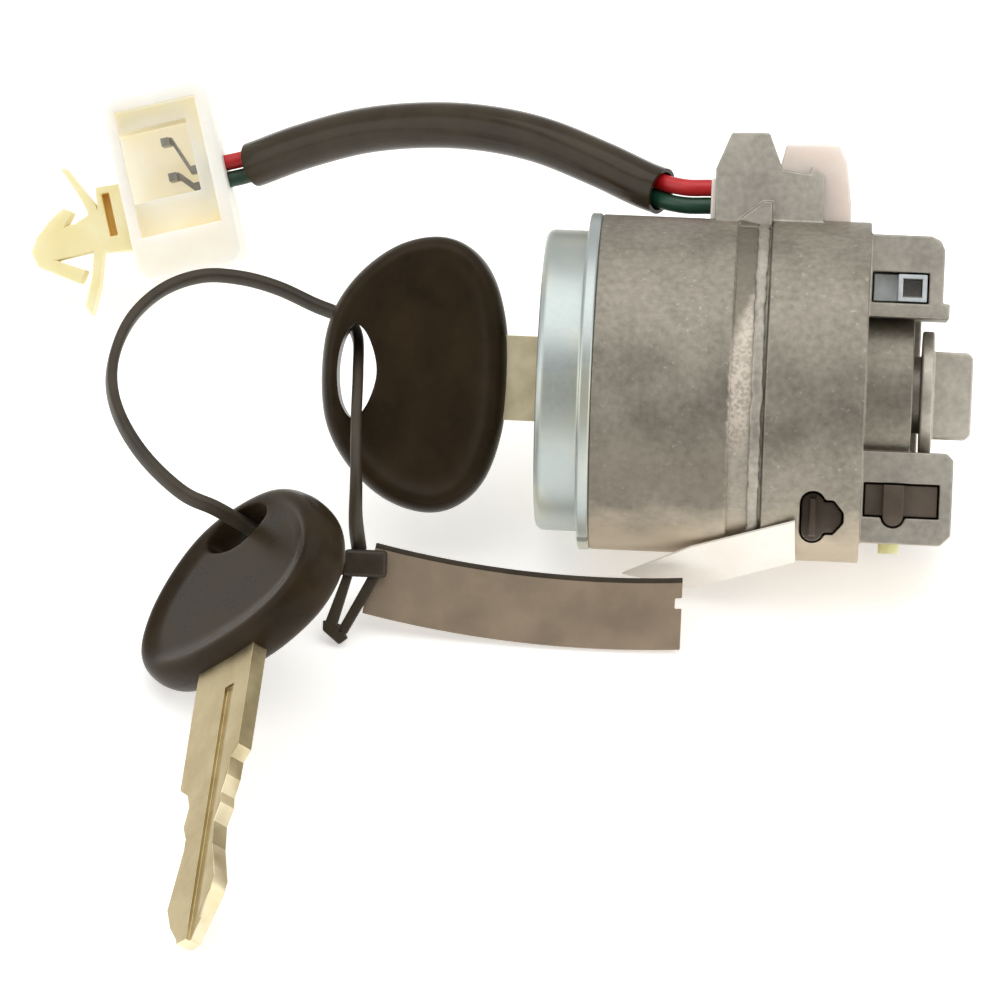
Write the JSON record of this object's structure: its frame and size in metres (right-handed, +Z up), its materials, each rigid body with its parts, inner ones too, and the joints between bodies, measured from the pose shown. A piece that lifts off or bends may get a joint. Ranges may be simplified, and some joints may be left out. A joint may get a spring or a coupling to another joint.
{
  "type": "ignition switch",
  "caption": "Key-operated ignition lock in a die-cast barrel with a steel face cap, a spare key on a strap tag, and a reminder switch lead ending in a connector.",
  "frame": {"origin": "on the lock's axis, where the cap's flange meets the barrel", "axes": "+X along the lock towards the drive tail, +Z up as the lock lies on a table, +Y away from the viewer"},
  "size_m": [0.1153, 0.132, 0.0452],
  "materials": {
    "zinc": "bare zinc die casting, dull grey with rubbed edges",
    "plated_steel": "bright zinc plate",
    "spring_steel": "drawn wire",
    "brass": "stamped sheet",
    "nickel_silver": "milled nickel silver, worn",
    "head_plastic": "satin black moulding",
    "tag_nylon": "satin dark moulding",
    "black_nylon": "satin moulding",
    "white_nylon": "natural translucent nylon",
    "cream_nylon": "aged natural nylon",
    "yellow_nylon": "satin moulding",
    "red_pvc": "PVC insulation",
    "green_pvc": "PVC insulation",
    "black_pvc": "soft PVC tubing",
    "paper": "plain white paper"
  },
  "bodies": {
    "barrel": {"housing": "zinc", "face_cap": "plated_steel", "return_spring": "spring_steel", "retaining_pin_spring": "spring_steel", "retainer_plate": "plated_steel", "rear_stop": "black_nylon", "stop_pin": "yellow_nylon", "switch_body": "white_nylon", "plunger_spring": "spring_steel", "switch_contacts": "brass", "wire_red": "red_pvc", "wire_green": "green_pvc", "wire_sleeve": "black_pvc", "connector_body": "white_nylon", "terminals": "plated_steel", "anchor_clip": "cream_nylon", "paper_label": "paper"},
    "plug": {"rotor": "zinc", "wafers": "brass", "wafer_springs": "spring_steel", "detent_ball": "spring_steel", "detent_spring": "spring_steel", "drive_tail": "zinc"},
    "key": {"key_blade": "nickel_silver", "key_head": "head_plastic"},
    "tag": {"key_tag": "tag_nylon", "spare_key_blade": "nickel_silver", "spare_key_head": "head_plastic"},
    "latch": {"retaining_pin": "black_nylon"},
    "plunger": {"switch_plunger": "black_nylon"}
  },
  "joints": [
    {"name": "key_turn", "type": "hinge", "parent": "barrel", "child": "plug", "pos_m": [0, 0, 0], "axis": [1, 0, 0], "range_deg": [0, 105]},
    {"name": "key_slide", "type": "slide", "parent": "plug", "child": "key", "axis": [-1, 0, 0], "range_m": [0, 0.035]},
    {"name": "tag_slide", "type": "slide", "parent": "barrel", "child": "tag", "axis": [-1, 0, 0], "range_m": [0, 0.035]},
    {"name": "latch_press", "type": "slide", "parent": "barrel", "child": "latch", "axis": [0, 0.7431, -0.6691], "range_m": [0, 0.0015], "stiffness_N_per_m": 400, "springref_m": -0.002, "deforming": ["retaining_pin_spring"]},
    {"name": "plunger_press", "type": "slide", "parent": "barrel", "child": "plunger", "axis": [0, 0.6691, 0.7431], "range_m": [0, 0.0012], "stiffness_N_per_m": 400, "springref_m": -0.002, "deforming": ["plunger_spring"]}
  ],
  "couplings": [
    {"joint": "tag_slide", "follows": "key_slide", "ratio": 1}
  ]
}
